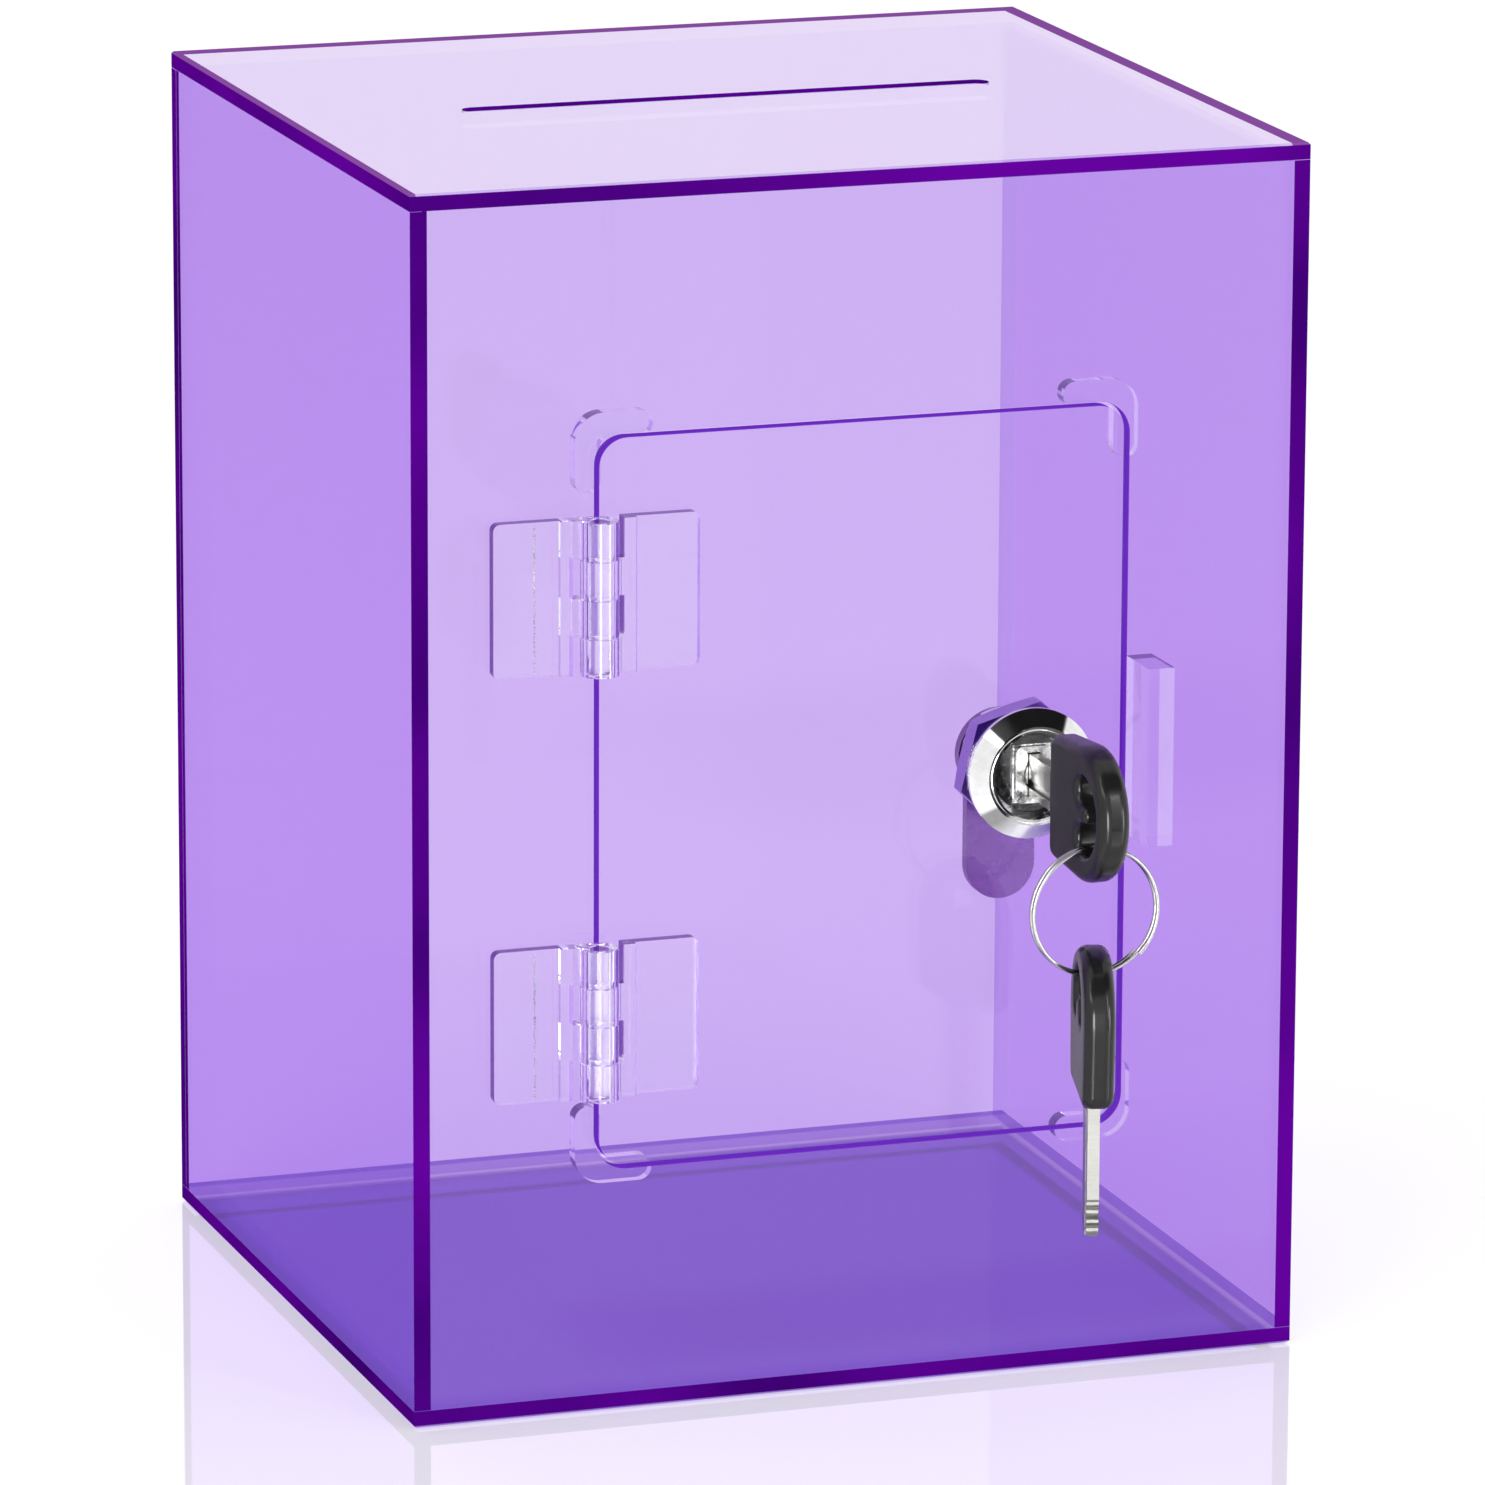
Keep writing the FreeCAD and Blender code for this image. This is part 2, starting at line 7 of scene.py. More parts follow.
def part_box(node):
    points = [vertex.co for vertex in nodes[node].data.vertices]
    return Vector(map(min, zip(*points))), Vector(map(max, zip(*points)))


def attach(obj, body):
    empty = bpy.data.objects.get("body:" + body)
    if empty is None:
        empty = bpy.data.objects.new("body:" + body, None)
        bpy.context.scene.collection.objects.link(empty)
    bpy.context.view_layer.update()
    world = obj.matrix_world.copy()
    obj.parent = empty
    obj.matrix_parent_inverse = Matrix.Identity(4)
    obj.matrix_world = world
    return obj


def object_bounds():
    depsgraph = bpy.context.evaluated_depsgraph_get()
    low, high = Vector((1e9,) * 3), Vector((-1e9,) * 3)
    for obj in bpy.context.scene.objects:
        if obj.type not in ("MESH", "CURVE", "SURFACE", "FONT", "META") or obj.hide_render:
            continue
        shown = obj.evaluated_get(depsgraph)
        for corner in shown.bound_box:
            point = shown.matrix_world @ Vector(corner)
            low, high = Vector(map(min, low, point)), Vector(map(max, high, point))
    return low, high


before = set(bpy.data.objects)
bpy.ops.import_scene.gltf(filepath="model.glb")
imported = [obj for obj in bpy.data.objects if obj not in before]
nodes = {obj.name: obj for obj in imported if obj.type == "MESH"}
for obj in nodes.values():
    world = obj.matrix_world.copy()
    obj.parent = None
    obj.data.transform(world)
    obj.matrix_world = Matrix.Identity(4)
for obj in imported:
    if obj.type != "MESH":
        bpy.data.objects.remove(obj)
cad_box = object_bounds()

# Camera, fitted to the corners of the case
camera_place = (-0.53443, -1.57344, 0.50033)
camera_azimuth = -18.863
camera_elevation = 13.759
camera_roll = 0.243
camera_lens = 243.75
camera_sensor = 36.0

# Light in the room
ambient_strength = 0.62
floor_glow = 0.48
floor_gloss = 1.2
floor_size = 9.0
floor_drop = 0.0002
floor_ior = 2.2
floor_colour = (0.8, 0.8, 0.8)

# Colours as linear light
sheet_tint = (0.874, 0.802, 0.963)
sheet_side_tint = (0.768, 0.617, 0.937)
sheet_top_tint = (0.985, 0.972, 0.992)
base_slant_tint = (0.655, 0.525, 0.85)
edge_deep = (0.055, 0.0006, 0.19)
edge_bright = (0.135, 0.001, 0.36)
# Painted light round the doorway: a brighter edge colour and a glow on the cut edges there
edge_doorway_painted_light = (0.14, 0.03, 0.4)
doorway_painted_glow = (0.11, 0.02, 0.29)
lid_band = (0.28, 0.085, 0.4)
lid_mirror = (0.86, 0.78, 0.955)
# Painted reflection: the even glow of the lid's lower face, seen from above
lid_painted_reflection = (0.65, 0.51, 0.87)
lid_edge_tint = (0.753, 0.632, 0.916)
chrome_colour = (0.93, 0.93, 0.935)
boss_dull = (0.2, 0.2, 0.205)
# Painted shade in the plug's recess round its boss and along the ward
recess_painted_shade = (0.07, 0.07, 0.073)
# The steel parts and the nut inside the box carry painted purple light from the tinted sheets in their
# colours
steel_with_painted_light = (0.29, 0.175, 0.38)
nut_with_painted_light = (0.46, 0.31, 0.7)
blade_colour = (0.33, 0.33, 0.31)
ring_colour = (0.47, 0.47, 0.465)
bow_black = (0.008, 0.008, 0.008)
bow_worn = (0.038, 0.038, 0.036)
# Painted light: the spare bow's flat sides, lighter than the other bow's where the light falls on them
spare_flank_painted_light = (0.2, 0.2, 0.19)
# Clear pieces: a painted purple glow, over a base colour leaning green that keeps their white parts white
clear_colour = (0.942, 0.982, 0.9)
clear_painted_glow = (0.016, 0.004, 0.042)
bubble_colour = (0.9, 0.88, 0.95)
bubble_shade = (0.12, 0.05, 0.25)
white = (1.0, 1.0, 1.0)

# Places on the part, read from the model
mid_height = (cad_box[0][2] + cad_box[1][2]) / 2
lid_low, lid_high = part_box("top_panel")
plug_low, plug_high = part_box("lock_plug")
lock_x = (plug_low[0] + plug_high[0]) / 2
lock_z = (plug_low[2] + plug_high[2]) / 2

# The plug's boss and the ward beside its keyway
boss_half_w = 0.0033
boss_half_h = 0.0049
ward_x = 0.0013
ward_bow = 0.00035
ward_waves = 1100.0
ward_half = 0.00016
ward_rise = 0.0038
plug_face_depth = 0.004

# The second key hangs turned about the vertical
spare_turn_deg = 15.0

# Flat bubbles in the film of cement behind the hinges' frame leaves, and the thread on the lock's barrel
bubble_inset = 0.0073
bubble_margin = 0.0006
bubble_step = 0.0005
bubble_least = 0.00014
bubble_most = 0.00026
bubble_flat = 0.09
bubble_stray = (0.00006, 0.0, 0.00015)
stray_seed = 7
size_seed = 19
glue_film = 0.00005
barrel_r = 0.008
thread_pitch = 0.0008
thread_rows = 5
thread_ridge = 0.0002
thread_sweep_deg = 132.0

# Limits that tell one region of a sheet's edges from another
doorway_reach = 0.062
doorway_rise = 0.078
slot_reach = 0.06
slot_depth = 0.01
slot_lip = 0.0007

# A wall's end this far above the middle, and leaning up more than this, lies under the lid
lid_height = 0.09
lid_lean = 0.5

# How acrylic looks: lean that tells a cut edge from a face, slants between which a sheet's tint changes,
# mirror of a face seen straight on, and bending of light in the clear pieces
edge_lean = 0.6
slant_low = 0.15
slant_high = 0.7
face_mirror = 0.04
acrylic_ior = 1.49

# Shade between the drawn lines of a metal, and gloss of the rims of the key bows
line_shade = 0.86
bow_gloss = 0.65

# Widths of the bands that the walls' cemented ends show through the lid and through the left side
band_back = 0.0042
band_corner = 0.0046
band_right = 0.0032
band_left = 0.001


# Node helpers

def node(tree, kind, values=None, **settings):
    """New node with its settings and its plain inputs."""
    made = tree.nodes.new(kind)
    for name, value in settings.items():
        setattr(made, name, value)
    for name, value in (values or {}).items():
        made.inputs[name].default_value = value
    return made


def join(tree, source, target):
    """Link an output to an input, or set the input's plain value."""
    if isinstance(source, bpy.types.NodeSocket):
        tree.links.new(source, target)
    else:
        target.default_value = source


def maths(tree, operation, *terms):
    """Output of a Math node on sockets and numbers."""
    made = node(tree, "ShaderNodeMath", operation=operation)
    for place, term in enumerate(terms):
        join(tree, term, made.inputs[place])
    return made.outputs[0]


def mixed_colour(tree, share, first, second):
    """Output of a colour mix between two colours or sockets."""
    made = node(tree, "ShaderNodeMix", data_type="RGBA")
    join(tree, share, made.inputs[0])
    join(tree, opaque(first), made.inputs[6])
    join(tree, opaque(second), made.inputs[7])
    return made.outputs[2]


def mixed_shader(tree, share, first, second):
    made = node(tree, "ShaderNodeMixShader")
    join(tree, share, made.inputs[0])
    tree.links.new(first, made.inputs[1])
    tree.links.new(second, made.inputs[2])
    return made.outputs[0]


def remap(tree, value, low, high):
    """Value mapped from low and high to 0 and 1, and held there."""
    made = node(tree, "ShaderNodeMapRange", {"From Min": low, "From Max": high}, clamp=True)
    tree.links.new(value, made.inputs["Value"])
    return made.outputs["Result"]


def opaque(colour):
    return (*colour, 1.0) if isinstance(colour, tuple) and len(colour) == 3 else colour


def blank_material(name):
    material = bpy.data.materials.new(name)
    material.use_nodes = True
    tree = material.node_tree
    tree.nodes.clear()
    return material, tree, node(tree, "ShaderNodeOutputMaterial")


def group_of(name, inputs, outputs):
    """Empty shader node group with float inputs and outputs, and its two ends."""
    tree = bpy.data.node_groups.new(name, "ShaderNodeTree")
    for label, value in inputs.items():
        socket = tree.interface.new_socket(label, in_out="INPUT", socket_type="NodeSocketFloat")
        socket.default_value = value
    for label in outputs:
        tree.interface.new_socket(label, in_out="OUTPUT", socket_type="NodeSocketFloat")
    return tree, node(tree, "NodeGroupInput"), node(tree, "NodeGroupOutput")


# Shared effects

def make_drift():
    """Faint handling marks, and painted shade on the glue bubbles: a value that drifts between Low and High
    over the surface.
    """
    tree, given, result = group_of("drifting_value", {"Scale": 40.0, "Low": 0.1, "High": 0.2}, ["Value"])
    coords = node(tree, "ShaderNodeTexCoord")
    noise = node(tree, "ShaderNodeTexNoise", {"Detail": 4.0, "Roughness": 0.6})
    tree.links.new(coords.outputs["Object"], noise.inputs["Vector"])
    tree.links.new(given.outputs["Scale"], noise.inputs["Scale"])
    spread = node(tree, "ShaderNodeMapRange", {"From Min": 0.3, "From Max": 0.7}, clamp=True)
    tree.links.new(noise.outputs[0], spread.inputs["Value"])
    tree.links.new(given.outputs["Low"], spread.inputs["To Min"])
    tree.links.new(given.outputs["High"], spread.inputs["To Max"])
    tree.links.new(spread.outputs["Result"], result.inputs["Value"])
    return tree


def make_brushing():
    """Fine drawn lines along one direction: a height and a mask."""
    tree, given, result = group_of(
        "drawn_lines", {"Across X": 1.0, "Across Y": 1.0, "Across Z": 1.0}, ["Height", "Mask"]
    )
    coords = node(tree, "ShaderNodeTexCoord")
    stretch = node(tree, "ShaderNodeCombineXYZ")
    for place, label in enumerate(("Across X", "Across Y", "Across Z")):
        tree.links.new(given.outputs[label], stretch.inputs[place])
    scaled = node(tree, "ShaderNodeVectorMath", operation="MULTIPLY")
    tree.links.new(coords.outputs["Object"], scaled.inputs[0])
    tree.links.new(stretch.outputs[0], scaled.inputs[1])
    noise = node(tree, "ShaderNodeTexNoise", {"Scale": 1.0, "Detail": 3.0, "Roughness": 0.7})
    tree.links.new(scaled.outputs[0], noise.inputs["Vector"])
    tree.links.new(noise.outputs[0], result.inputs["Height"])
    tree.links.new(remap(tree, noise.outputs[0], low=0.35, high=0.65), result.inputs["Mask"])
    return tree


drift_group = make_drift()
brushing = make_brushing()


def drifting_value(tree, low, high, scale):
    made = node(tree, "ShaderNodeGroup", node_tree=drift_group)
    made.inputs["Scale"].default_value = scale
    made.inputs["Low"].default_value = low
    made.inputs["High"].default_value = high
    return made.outputs["Value"]


def drawn_lines(tree, across):
    made = node(tree, "ShaderNodeGroup", node_tree=brushing)
    for label, value in zip(("Across X", "Across Y", "Across Z"), across):
        made.inputs[label].default_value = value
    return made


# Finishes

def inside(tree, value, limit):
    """1 where a value lies within a limit on both sides of zero."""
    return maths(tree, "LESS_THAN", maths(tree, "ABSOLUTE", value), limit)


def tinted_sheet(name, across, slant_tint, gloss, edge_tint):
    """Polished see-through sheet: tinted faces that mirror a little, and dark cut edges seen from outside."""
    is_lid = name == "sheet_lid"
    material, tree, out = blank_material(name)
    coords = node(tree, "ShaderNodeTexCoord")
    behind = node(tree, "ShaderNodeNewGeometry").outputs["Backfacing"]
    facing = node(tree, "ShaderNodeLayerWeight", {"Blend": 0.5}).outputs["Facing"]
    where = node(tree, "ShaderNodeSeparateXYZ")
    tree.links.new(coords.outputs["Object"], where.inputs[0])
    turn = node(tree, "ShaderNodeSeparateXYZ")
    tree.links.new(coords.outputs["Normal"], turn.inputs[0])
    height = maths(tree, "SUBTRACT", where.outputs["Z"], mid_height)

    # Faces are square to the sheet's thickness, and everything else is a cut edge
    lean = node(tree, "ShaderNodeVectorMath", operation="DOT_PRODUCT")
    tree.links.new(coords.outputs["Normal"], lean.inputs[0])
    lean.inputs[1].default_value = across
    edge = inside(tree, lean.outputs["Value"], edge_lean)
    seen = maths(tree, "SUBTRACT", edge, maths(tree, "MULTIPLY", edge, behind))

    # Ends cemented under the lid are clear
    under_lid = maths(tree, "GREATER_THAN", turn.outputs["Z"], lid_lean)
    under_lid = maths(tree, "MULTIPLY", under_lid, maths(tree, "GREATER_THAN", height, lid_height))
    seen = maths(tree, "MULTIPLY", seen, maths(tree, "SUBTRACT", 1.0, under_lid))

    slant = remap(tree, facing, slant_low, slant_high)
    tint = mixed_colour(tree, slant, sheet_tint, slant_tint)
    tint = mixed_colour(tree, edge, tint, edge_tint)

    # The lid's slot is dark only at its upper lip, and clear below it
    if is_lid:
        slot = maths(tree, "MULTIPLY", inside(tree, where.outputs["X"], slot_reach), edge)
        slot = maths(tree, "MULTIPLY", slot, inside(tree, where.outputs["Y"], slot_depth))
        below = maths(tree, "LESS_THAN", where.outputs["Z"], lid_high[2] - slot_lip)
        tint = mixed_colour(tree, slot, tint, white)
        hidden = maths(tree, "MULTIPLY", slot, below)
        seen = maths(tree, "MULTIPLY", seen, maths(tree, "SUBTRACT", 1.0, hidden))

    clear = node(tree, "ShaderNodeBsdfTransparent")
    tree.links.new(tint, clear.inputs["Color"])

    # Sheets that lie flat mirror in the sheet's own colour
    mirror_colour = lid_mirror if across[2] else white
    mirror = node(tree, "ShaderNodeBsdfGlossy", {"Color": opaque(mirror_colour)})
    tree.links.new(drifting_value(tree, low=0.01, high=0.04, scale=30.0), mirror.inputs["Roughness"])
    rise = maths(tree, "MULTIPLY_ADD", maths(tree, "POWER", facing, 5.0), 1.0 - face_mirror, face_mirror)
    share = maths(tree, "MULTIPLY", rise, gloss)
    share = maths(tree, "MULTIPLY", share, maths(tree, "SUBTRACT", 1.0, edge))
    mirrored = mirror.outputs[0]

    # Seen from above, the lid's lower face shows a painted reflection of the even white over it, a glow in
    # place of its mirror
    if is_lid:
        painted_reflection = node(tree, "ShaderNodeEmission", {"Color": opaque(lid_painted_reflection), "Strength": 1.0})
        mirrored = mixed_shader(tree, behind, mirrored, painted_reflection.outputs[0])
    pane = mixed_shader(tree, share, clear.outputs[0], mirrored)

    # Cut edges, with painted light round the doorway: a brighter colour and a glow
    doorway = inside(tree, where.outputs["X"], doorway_reach)
    doorway = maths(tree, "MULTIPLY", doorway, inside(tree, height, doorway_rise))
    bands = node(tree, "ShaderNodeTexNoise", {"Scale": 16.0, "Detail": 2.0})
    tree.links.new(coords.outputs["Object"], bands.inputs["Vector"])
    colour = mixed_colour(tree, remap(tree, bands.outputs[0], low=0.35, high=0.65), edge_deep, edge_bright)
    colour = mixed_colour(tree, doorway, colour, edge_doorway_painted_light)
    glow = mixed_colour(tree, doorway, (0.0, 0.0, 0.0), doorway_painted_glow)

    # The walls under the lid show as bands along its borders
    if is_lid:
        band = maths(tree, "GREATER_THAN", where.outputs["Y"], lid_high[1] - band_back)
        right = maths(tree, "GREATER_THAN", where.outputs["X"], lid_high[0] - band_right)
        left = maths(tree, "LESS_THAN", where.outputs["X"], lid_low[0] + band_left)
        band = maths(tree, "MAXIMUM", band, maths(tree, "MAXIMUM", right, left))
        band = maths(tree, "MULTIPLY", band, maths(tree, "GREATER_THAN", turn.outputs["Z"], edge_lean))
        band = maths(tree, "MULTIPLY", band, maths(tree, "SUBTRACT", 1.0, behind))
        colour = mixed_colour(tree, band, colour, lid_band)
        seen = maths(tree, "MAXIMUM", seen, band)

    # The back wall's end shows through the left side
    if name == "sheet_left":
        band = maths(tree, "GREATER_THAN", where.outputs["Y"], cad_box[1][1] - band_corner)
        band = maths(tree, "MULTIPLY", band, maths(tree, "LESS_THAN", turn.outputs["X"], -edge_lean))
        band = maths(tree, "MULTIPLY", band, maths(tree, "SUBTRACT", 1.0, behind))
        seen = maths(tree, "MAXIMUM", seen, band)

    cut = node(tree, "ShaderNodeBsdfPrincipled", {"Specular IOR Level": 0.0, "Emission Strength": 1.0})
    tree.links.new(colour, cut.inputs["Base Color"])
    tree.links.new(glow, cut.inputs["Emission Color"])
    tree.links.new(drifting_value(tree, low=0.28, high=0.45, scale=60.0), cut.inputs["Roughness"])
    tree.links.new(mixed_shader(tree, seen, pane, cut.outputs[0]), out.inputs["Surface"])
    return material


def clear_acrylic(name, roughness):
    """Colourless moulded or cut acrylic, with a faint painted purple glow."""
    material, tree, out = blank_material(name)
    glass = node(tree, "ShaderNodeBsdfPrincipled", {
        "Base Color": opaque(clear_colour), "IOR": acrylic_ior, "Transmission Weight": 1.0,
        "Emission Color": opaque(clear_painted_glow), "Emission Strength": 1.0,
    })
    tree.links.new(drifting_value(tree, *roughness, scale=90.0), glass.inputs["Roughness"])
    tree.links.new(glass.outputs[0], out.inputs["Surface"])
    return material


def metal(name, colour, roughness, across, scratch):
    """Plated metal with fine drawn lines and handling marks."""
    material, tree, out = blank_material(name)
    body = node(tree, "ShaderNodeBsdfPrincipled", {"Metallic": 1.0})
    lines = drawn_lines(tree, across)
    shade = mixed_colour(tree, lines.outputs["Mask"], tuple(line_shade * part for part in colour), colour)
    tree.links.new(shade, body.inputs["Base Color"])
    tree.links.new(drifting_value(tree, *roughness, scale=120.0), body.inputs["Roughness"])
    bump = node(tree, "ShaderNodeBump", {"Strength": scratch, "Distance": 0.0001})
    tree.links.new(lines.outputs["Height"], bump.inputs["Height"])
    tree.links.new(bump.outputs[0], body.inputs["Normal"])
    tree.links.new(body.outputs[0], out.inputs["Surface"])
    return material


def glue_bubble(name):
    """Trapped air, bright against the tint behind it, with painted shade over parts of each bubble."""
    material, tree, out = blank_material(name)
    body = node(tree, "ShaderNodeBsdfPrincipled", {"Roughness": 0.12})
    # The noise spreads painted shade, dark purple, over parts of each white bubble
    patches = drifting_value(tree, low=0.0, high=1.0, scale=150.0)
    shade = mixed_colour(tree, patches, bubble_shade, bubble_colour)
    tree.links.new(shade, body.inputs["Base Color"])
    tree.links.new(body.outputs[0], out.inputs["Surface"])
    return material


def black_plastic(name, across, flat_side_colour):
    """Moulded plastic with a glossy round rim and matt flat sides."""
    material, tree, out = blank_material(name)
    coords = node(tree, "ShaderNodeTexCoord")
    lean = node(tree, "ShaderNodeVectorMath", operation="DOT_PRODUCT")
    tree.links.new(coords.outputs["Normal"], lean.inputs[0])
    lean.inputs[1].default_value = across
    flat = remap(tree, maths(tree, "ABSOLUTE", lean.outputs["Value"]), low=0.8, high=0.99)
    body = node(tree, "ShaderNodeBsdfPrincipled", {
        "IOR": 1.5, "Specular IOR Level": 0.08, "Coat Roughness": 0.17,
    })
    tree.links.new(mixed_colour(tree, flat, bow_black, flat_side_colour), body.inputs["Base Color"])
    tree.links.new(maths(tree, "MULTIPLY_ADD", flat, -bow_gloss, bow_gloss), body.inputs["Coat Weight"])
    tree.links.new(drifting_value(tree, low=0.5, high=0.6, scale=260.0), body.inputs["Roughness"])
    grain = node(tree, "ShaderNodeTexNoise", {"Scale": 2600.0, "Detail": 2.0})
    tree.links.new(coords.outputs["Object"], grain.inputs["Vector"])
    bump = node(tree, "ShaderNodeBump", {"Strength": 0.06, "Distance": 0.0001})
    tree.links.new(grain.outputs[0], bump.inputs["Height"])
    tree.links.new(bump.outputs[0], body.inputs["Normal"])
    tree.links.new(body.outputs[0], out.inputs["Surface"])
    return material


def plug_metal(name):
    """Cast and plated plug: bright uneven boss, painted shade in the recess round it and on a crooked ward by
    the keyway.
    """
    material, tree, out = blank_material(name)
    coords = node(tree, "ShaderNodeTexCoord")
    where = node(tree, "ShaderNodeSeparateXYZ")
    tree.links.new(coords.outputs["Object"], where.inputs[0])
    x = maths(tree, "SUBTRACT", where.outputs["X"], lock_x)
    z = maths(tree, "SUBTRACT", where.outputs["Z"], lock_z)
    boss = maths(tree, "MULTIPLY", inside(tree, x, boss_half_w), inside(tree, z, boss_half_h))

    # The ward's line bows away from the keyway at its middle
    bow = maths(tree, "COSINE", maths(tree, "MULTIPLY", z, ward_waves))
    line = maths(tree, "MULTIPLY_ADD", bow, ward_bow, ward_x)
    ward = inside(tree, maths(tree, "ADD", x, line), ward_half)
    ward = maths(tree, "MULTIPLY", ward, inside(tree, z, ward_rise))
    front = maths(tree, "LESS_THAN", where.outputs["Y"], plug_low[1] + plug_face_depth)
    # Painted shade over the front: the recess round the boss and the ward's line
    painted_shade = maths(tree, "MULTIPLY", maths(tree, "MAXIMUM", ward, maths(tree, "SUBTRACT", 1.0, boss)), front)

    body = node(tree, "ShaderNodeBsdfPrincipled", {"Metallic": 1.0})
    patches = drifting_value(tree, low=0.0, high=1.0, scale=520.0)
    shade = mixed_colour(tree, patches, boss_dull, chrome_colour)
    tree.links.new(mixed_colour(tree, painted_shade, shade, recess_painted_shade), body.inputs["Base Color"])
    tree.links.new(drifting_value(tree, low=0.1, high=0.28, scale=700.0), body.inputs["Roughness"])
    cast = node(tree, "ShaderNodeTexNoise", {"Scale": 420.0, "Detail": 3.0, "Roughness": 0.55})
    tree.links.new(coords.outputs["Object"], cast.inputs["Vector"])
    bump = node(tree, "ShaderNodeBump", {"Strength": 0.3, "Distance": 0.0005})
    tree.links.new(cast.outputs[0], bump.inputs["Height"])
    tree.links.new(bump.outputs[0], body.inputs["Normal"])
    tree.links.new(body.outputs[0], out.inputs["Surface"])
    return material


def dress(material, names):
    """Give CAD nodes one finish all over."""
    for name in names:
        slots = nodes[name].data.materials
        slots.clear()
        slots.append(material)


def dress_all():
    upright = tinted_sheet(
        "sheet_upright", across=(0, 1, 0), slant_tint=sheet_side_tint, gloss=0.5, edge_tint=sheet_tint
    )
    dress(upright, ["front_panel", "back_panel", "door_panel"])
    left = tinted_sheet(
        "sheet_left", across=(1, 0, 0), slant_tint=sheet_side_tint, gloss=0.15, edge_tint=sheet_side_tint
    )
    dress(left, ["left_side_panel"])
    right = tinted_sheet(
        "sheet_right", across=(1, 0, 0), slant_tint=sheet_side_tint, gloss=0.15, edge_tint=white
    )
    dress(right, ["right_side_panel"])
    lid = tinted_sheet(
        "sheet_lid", across=(0, 0, 1), slant_tint=sheet_top_tint, gloss=1.3, edge_tint=lid_edge_tint
    )
    dress(lid, ["top_panel"])
    base = tinted_sheet(
        "sheet_base", across=(0, 0, 1), slant_tint=base_slant_tint, gloss=0.15, edge_tint=base_slant_tint
    )
    dress(base, ["base_panel"])

    stops = [f"{level}_{hand}_stop" for level in ("upper", "lower") for hand in ("left", "right")]
    dress(clear_acrylic("cut_clear_acrylic", roughness=(0.0, 0.03)), [*stops, "catch_block"])
    hinges = [name for name in nodes if "_hinge_" in name]
    dress(clear_acrylic("moulded_clear_plastic", roughness=(0.02, 0.08)), hinges)

    chrome = metal(
        "lock_chrome", chrome_colour, roughness=(0.05, 0.09), across=(300, 300, 300), scratch=0.0
    )
    dress(chrome, ["lock_housing"])
    # Painted purple light from the tinted sheets in the colours of the steel parts and the nut
    steel = metal(
        "plated_steel", steel_with_painted_light, roughness=(0.24, 0.32), across=(400, 400, 3000), scratch=0.05
    )
    dress(steel, ["lock_wafers", "stop_washer", "lock_cam", "cam_washer", "cam_screw"])
    nut = metal("plated_nut", nut_with_painted_light, roughness=(0.26, 0.34), across=(400, 3000, 400), scratch=0.05)
    dress(nut, ["lock_nut"])
    dress(plug_metal("cast_plug"), ["lock_plug"])
    blade = metal("nickel_blade", blade_colour, roughness=(0.26, 0.4), across=(300, 300, 5000), scratch=0.1)
    dress(blade, ["key_blade", "spare_key_blade"])
    wire = metal("ring_wire", ring_colour, roughness=(0.08, 0.16), across=(900, 900, 900), scratch=0.05)
    dress(wire, ["split_ring"])

    dress(black_plastic("bow_plastic", across=(1, 0, 0), flat_side_colour=bow_worn), ["key_bow"])
    spare_turn = math.radians(spare_turn_deg)
    spare_side = (math.cos(spare_turn), -math.sin(spare_turn), 0)
    # The spare bow's flat sides carry painted light
    dress(black_plastic("spare_bow_plastic", across=spare_side, flat_side_colour=spare_flank_painted_light), ["spare_key_bow"])


# What repeats

def link_object(name, data):
    made = bpy.data.objects.new(name, data)
    bpy.context.scene.collection.objects.link(made)
    return made


def repeat_tree(name, inputs):
    """Empty geometry node group with named inputs and one geometry output."""
    tree = bpy.data.node_groups.new(name, "GeometryNodeTree")
    for label, kind in inputs.items():
        tree.interface.new_socket(label, in_out="INPUT", socket_type=f"NodeSocket{kind}")
    tree.interface.new_socket("Geometry", in_out="OUTPUT", socket_type="NodeSocketGeometry")
    return tree, node(tree, "NodeGroupInput"), node(tree, "NodeGroupOutput")


def end_tree(tree, given, instances, result):
    """Make the instances real and give them the tree's material."""
    smooth = node(tree, "GeometryNodeSetShadeSmooth")
    tree.links.new(instances, smooth.inputs["Geometry"])
    real = node(tree, "GeometryNodeRealizeInstances")
    tree.links.new(smooth.outputs["Geometry"], real.inputs["Geometry"])
    painted = node(tree, "GeometryNodeSetMaterial")
    tree.links.new(real.outputs["Geometry"], painted.inputs["Geometry"])
    tree.links.new(given.outputs["Material"], painted.inputs["Material"])
    tree.links.new(painted.outputs["Geometry"], result.inputs["Geometry"])


